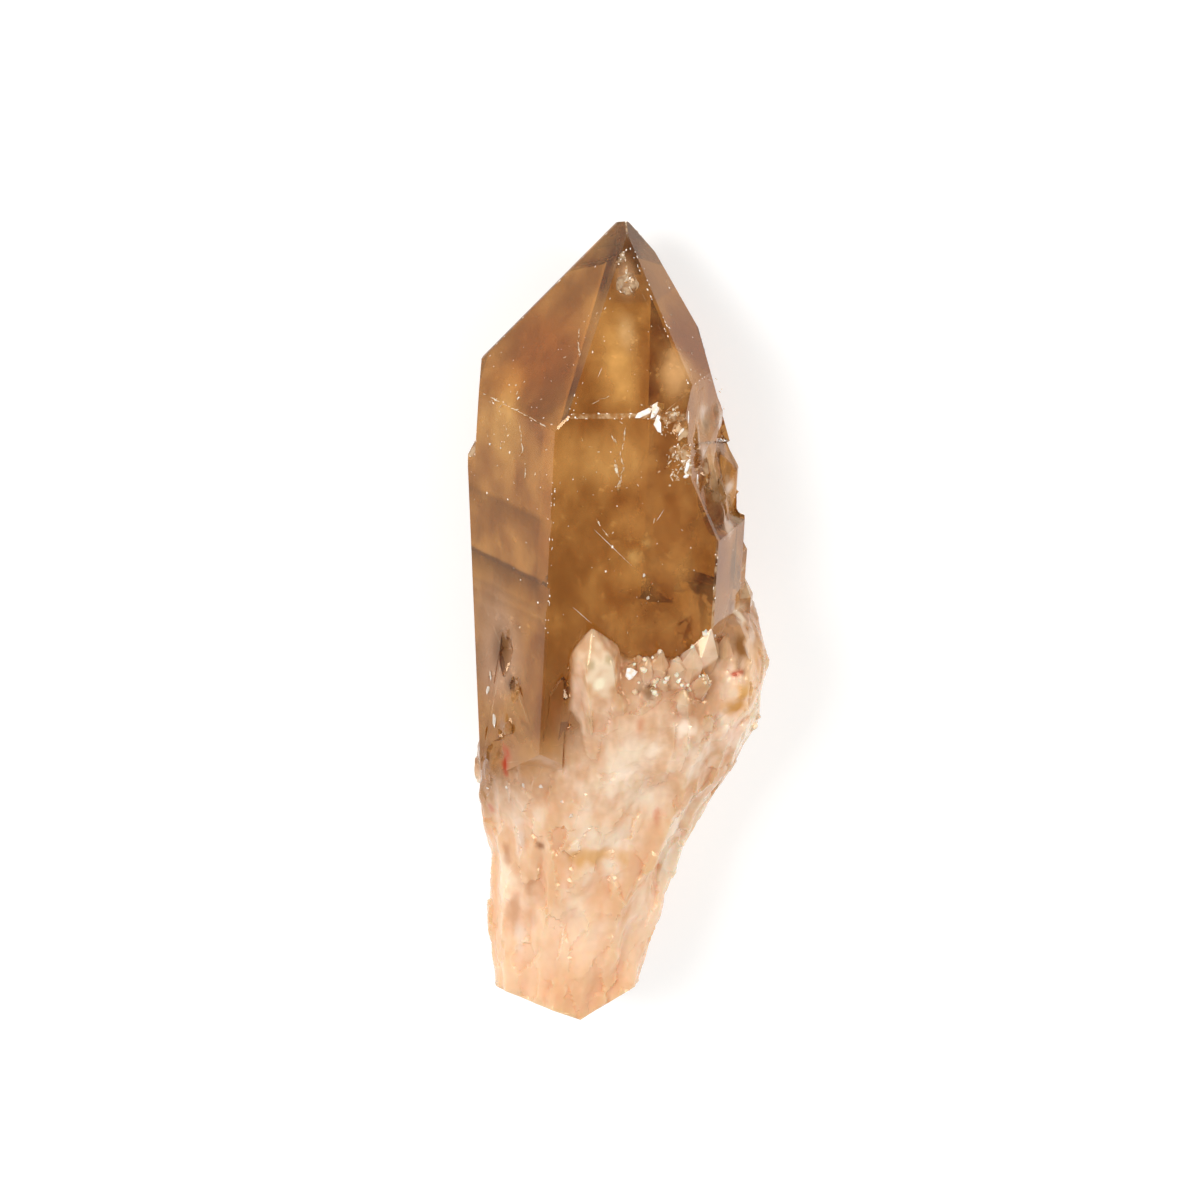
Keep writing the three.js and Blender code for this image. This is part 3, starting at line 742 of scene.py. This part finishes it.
# Glassy small crystals, painted pale as glints where the light catches them, in the same form.
GLINTS = [
    ((-8.9, -23.0, 12.0), 0.35, 1.0, -30),
    ((-9.0, -24.4, 11.8), 0.5, 0.8, 20),
    ((-8.5, -26.6, 12.7), 0.4, 1.3, -10),
    ((-8.8, -32.9, 12.2), 0.3, 0.35, 0),
    ((-7.5, -31.9, 14.3), 0.35, 0.4, 0),
    ((-6.4, -31.2, 15.7), 0.5, 0.4, 60),
    ((-5.0, -31.0, 16.5), 0.6, 0.4, 80),
    ((-3.3, -32.1, 16.9), 0.3, 0.3, 0),
    ((-2.5, -33.3, 17.0), 0.4, 0.45, 0),
    ((-7.7, 0.8, 12.7), 0.18, 0.4, 0),
    ((-9.6, -3.7, 10.8), 0.2, 0.2, 0),
    ((-8.9, -3.6, 12.0), 0.18, 0.18, 0),
    ((2.2, -12.2, 18.0), 0.25, 0.4, 0),
    ((2.6, -14.1, 18.0), 0.25, 0.35, 30),
    ((6.2, -11.8, 18.0), 0.15, 0.15, 0),
]

# Hairline scratches on the front face: place, length and the turn of the length.
SCRATCHES = [
    ((-0.7, -9.6, 18.0), 5.4, 134),
    ((-2.7, -15.5, 18.0), 2.6, 132),
    ((3.2, -7.2, 18.0), 1.4, 30),
    ((-1.8, 4.0, 15.7), 1.2, 200),
]


def add_lying(shape, place, size, turn, tilt, rng):
    """A flake lying on the surface, its length turned from the crystal's axis."""
    foot, normal = on_surface(place)
    along = Vector((math.sin(math.radians(turn)), math.cos(math.radians(turn)), 0))
    facing = (normal + any_way(rng) * tilt).normalized()
    add_flake(shape, foot, turned(facing, along), size, rng)


def glints():
    """Glassy small crystals on the root's left side and in the faces, painted pale as glints."""
    rng = random.Random(37)
    shape = bmesh.new()
    for place, width, length, turn in GLINTS:
        add_lying(shape, place, (width, length, 0.22), turn, 0.2, rng)
    # Clear quartz in small faces: glossy and partly see-through, its pale colour a painted glint.
    finished(shape, "glints", speckled_material(
        "glassy_crystal_painted_glint", "#efdcc4", "#fffaf0", 0.3, {"Roughness": 0.12, "Transmission Weight": 0.4}))


def bruises_and_painted_highlights():
    """The larger white flakes, partly chipped quartz and partly painted highlights, and the scratches."""
    rng = random.Random(41)
    shape = bmesh.new()
    for place, width, length, turn in BRUISES_AND_PAINTED_HIGHLIGHTS:
        add_lying(shape, place, (width, length, 0.2), turn, 0.2, rng)
    for place, length, turn in SCRATCHES:
        add_lying(shape, place, (0.028, length, 0.02), turn, 0.0, rng)
    # Freshly chipped quartz with a painted highlight: white, with a glossy gleam.
    finished(shape, "bruises_and_painted_highlights", speckled_material(
        "white_bruise_and_painted_highlight", "#f0dcc2", "#ffffff", 0.35, {"Roughness": 0.15}))


def druse():
    """Sugary small points over the line where the prism meets the root."""
    rng = random.Random(23)
    shape = bmesh.new()
    across, along, foot = DRUSE_BOX
    picked, weights = faces_where(lambda face, spot: (
        face.use_smooth and between(spot.x, across) and between(spot.y, along) and spot.z > foot))
    for face in rng.choices(picked, weights, k=DRUSE_COUNT):
        middle = point_in(face, rng)
        width = rng.uniform(0.2, 0.55)
        up_axis = (face.normal + Vector((0, 0.5, 0)) + any_way(rng) * 0.35).normalized()
        axes = turned(up_axis, any_way(rng))
        add_point(shape, middle, axes, width, width * rng.uniform(0.3, 0.7))
    # Cloudy quartz: cream, glossy and softly lit from within.
    finished(shape, "druse", speckled_material(
        "druse_quartz", "#e6c6a2", "#fff2e0", 0.8,
        {"Roughness": 0.2, "Subsurface Weight": 0.5, "Subsurface Scale": 0.8 * MM}))


# Soft golden veils inside the clear part: middle, reach in three directions and how dense they are.
VEILS = [
    ((4.0, -7.0, 15.4), (4.8, 13.0, 0.15), 0.7),
    ((0.5, 3.5, 12.5), (4.0, 5.0, 0.15), 0.4),
]


def veil(number, middle, reach, density):
    """A film of tiny bubbles in the quartz: golden and matt, densest in its middle and gone at its rim."""
    material, tree = new_material(f"bubble_veil_{number}")
    place = add(tree, "ShaderNodeTexCoord").outputs["Object"]
    from_middle = {"operation": "SUBTRACT", 1: at(*middle)}
    centred = add(tree, "ShaderNodeVectorMath", from_middle, {0: place}).outputs[0]
    shares = add(tree, "ShaderNodeVectorMath", {
        "operation": "DIVIDE", 1: [reach[0] * MM, reach[1] * MM, 1.0],
    }, {0: centred}).outputs[0]
    far = add(tree, "ShaderNodeVectorMath", {"operation": "LENGTH"}, {0: shares}).outputs["Value"]
    wisps = add(tree, "ShaderNodeTexNoise", {
        "Scale": 1 / (WISP_SIZE * MM), "Detail": 4.0,
    }, {"Vector": place}).outputs["Fac"]
    ragged = add(tree, "ShaderNodeMath", {"operation": "MULTIPLY_ADD", 1: 0.8}, {0: wisps, 2: far}).outputs[0]
    cover = add(tree, "ShaderNodeMapRange", {
        "interpolation_type": "SMOOTHSTEP",
        "From Min": 0.55, "From Max": 1.3, "To Min": density, "To Max": 0.0,
    }, {"Value": ragged}).outputs[0]
    tint = add(tree, "ShaderNodeMix", {
        "data_type": "RGBA", 6: linear("#e8b676"), 7: linear("#fbdcae"),
    }, {0: wisps}).outputs[2]
    shader = add(tree, "ShaderNodeBsdfPrincipled", {"Roughness": 0.7}, {"Base Color": tint, "Alpha": cover})
    add(tree, "ShaderNodeOutputMaterial", links={"Surface": shader.outputs[0]})
    shape = bmesh.new()
    bmesh.ops.create_icosphere(shape, subdivisions=4, radius=1.0)
    for vert in shape.verts:
        vert.co = at(*middle) + Vector([c * r * MM for c, r in zip(vert.co, reach)])
    piece = finished(shape, f"veil_{number}", material)
    piece.data.shade_smooth()


healed_cracks()
edge_nicks_and_highlights()
bruises_and_painted_highlights()
glints()
druse()
for number, (middle, reach, density) in enumerate(VEILS):
    veil(number, middle, reach, density)

# The camera looks down on the crystal as the photograph looks at it: a little from its tip and its left.
TURN, RAISE, ROLL = math.radians(9.0), math.radians(20.5), math.radians(3.0)
IMAGE_PX = 1200
MM_PER_PX = 0.08
CAMERA_DISTANCE = 420.0
SENSOR_MM = 36.0
AIM_DEPTH = 9.0
FRONT_LEFT_CORNER = Vector((-5.42, 0, 18.01))
CORNER_PX = (557, 433)
across = Vector((math.cos(TURN), 0, math.sin(TURN)))
along = Vector((math.sin(TURN) * math.sin(RAISE), math.cos(RAISE), -math.cos(TURN) * math.sin(RAISE)))
towards = across.cross(along)
right = math.cos(ROLL) * across + math.sin(ROLL) * along
up = math.cos(ROLL) * along - math.sin(ROLL) * across
aim = FRONT_LEFT_CORNER + right * (IMAGE_PX / 2 - CORNER_PX[0]) * MM_PER_PX
aim += up * (CORNER_PX[1] - IMAGE_PX / 2) * MM_PER_PX - towards * AIM_DEPTH
camera_data = bpy.data.cameras.new("camera")
camera_data.sensor_width = SENSOR_MM
camera_data.lens = SENSOR_MM * CAMERA_DISTANCE / (IMAGE_PX * MM_PER_PX)
camera_data.clip_start = 0.01
camera = link_object("camera", camera_data)
facing = Matrix((right, up, towards)).transposed().to_4x4()
camera.matrix_world = Matrix.Translation(at(*(aim + towards * CAMERA_DISTANCE))) @ facing
bpy.context.scene.camera = camera

# A plain pale floor: matt white paper, lit a little from below as the photograph's ground is.
FLOOR_HALF = 3.0
FLOOR_DROP = 0.05 * MM
shape = bmesh.new()
bmesh.ops.create_grid(shape, x_segments=1, y_segments=1, size=FLOOR_HALF)
floor_mesh = bpy.data.meshes.new("floor")
shape.to_mesh(floor_mesh)
shape.free()
floor = link_object("floor", floor_mesh)
floor.location.z = -FLOOR_DROP
paper, tree = new_material("white_paper_floor")
shader = add(tree, "ShaderNodeBsdfPrincipled", {
    "Base Color": linear("#cbcbc9"), "Roughness": 0.9,
    "Emission Color": linear("#ffffff"), "Emission Strength": 0.5,
})
add(tree, "ShaderNodeOutputMaterial", links={"Surface": shader.outputs[0]})
paper.cycles.emission_sampling = "NONE"
floor_mesh.materials.append(paper)

# Plain soft studio light: a white surround and two soft lamps.
world = bpy.data.worlds.new("studio")
world.use_nodes = True
surround = world.node_tree.nodes["Background"].inputs
surround["Color"].default_value = linear("#ffffff")
surround["Strength"].default_value = 0.5
bpy.context.scene.world = world


def soft_lamp(name, place, size, watts):
    lamp = bpy.data.lights.new(name, "AREA")
    lamp.shape = "SQUARE"
    lamp.size = size
    lamp.energy = watts
    thing = link_object(name, lamp)
    thing.location = place
    thing.rotation_euler = (-Vector(place)).to_track_quat("-Z", "Y").to_euler()


soft_lamp("left_lamp", (-0.36, 0.18, 0.45), 0.25, 2.4)
soft_lamp("right_lamp", (0.48, 0.06, 0.36), 0.2, 1.3)

# Enough bounces for light to pass through the crystal. With two lamps, picking them the plain way is quicker.
scene = bpy.context.scene
scene.view_settings.view_transform = "Standard"
scene.cycles.max_bounces = 14
scene.cycles.transmission_bounces = 12
scene.cycles.glossy_bounces = 6
scene.cycles.diffuse_bounces = 4
scene.cycles.use_light_tree = False
scene.cycles.light_sampling_threshold = 0.05
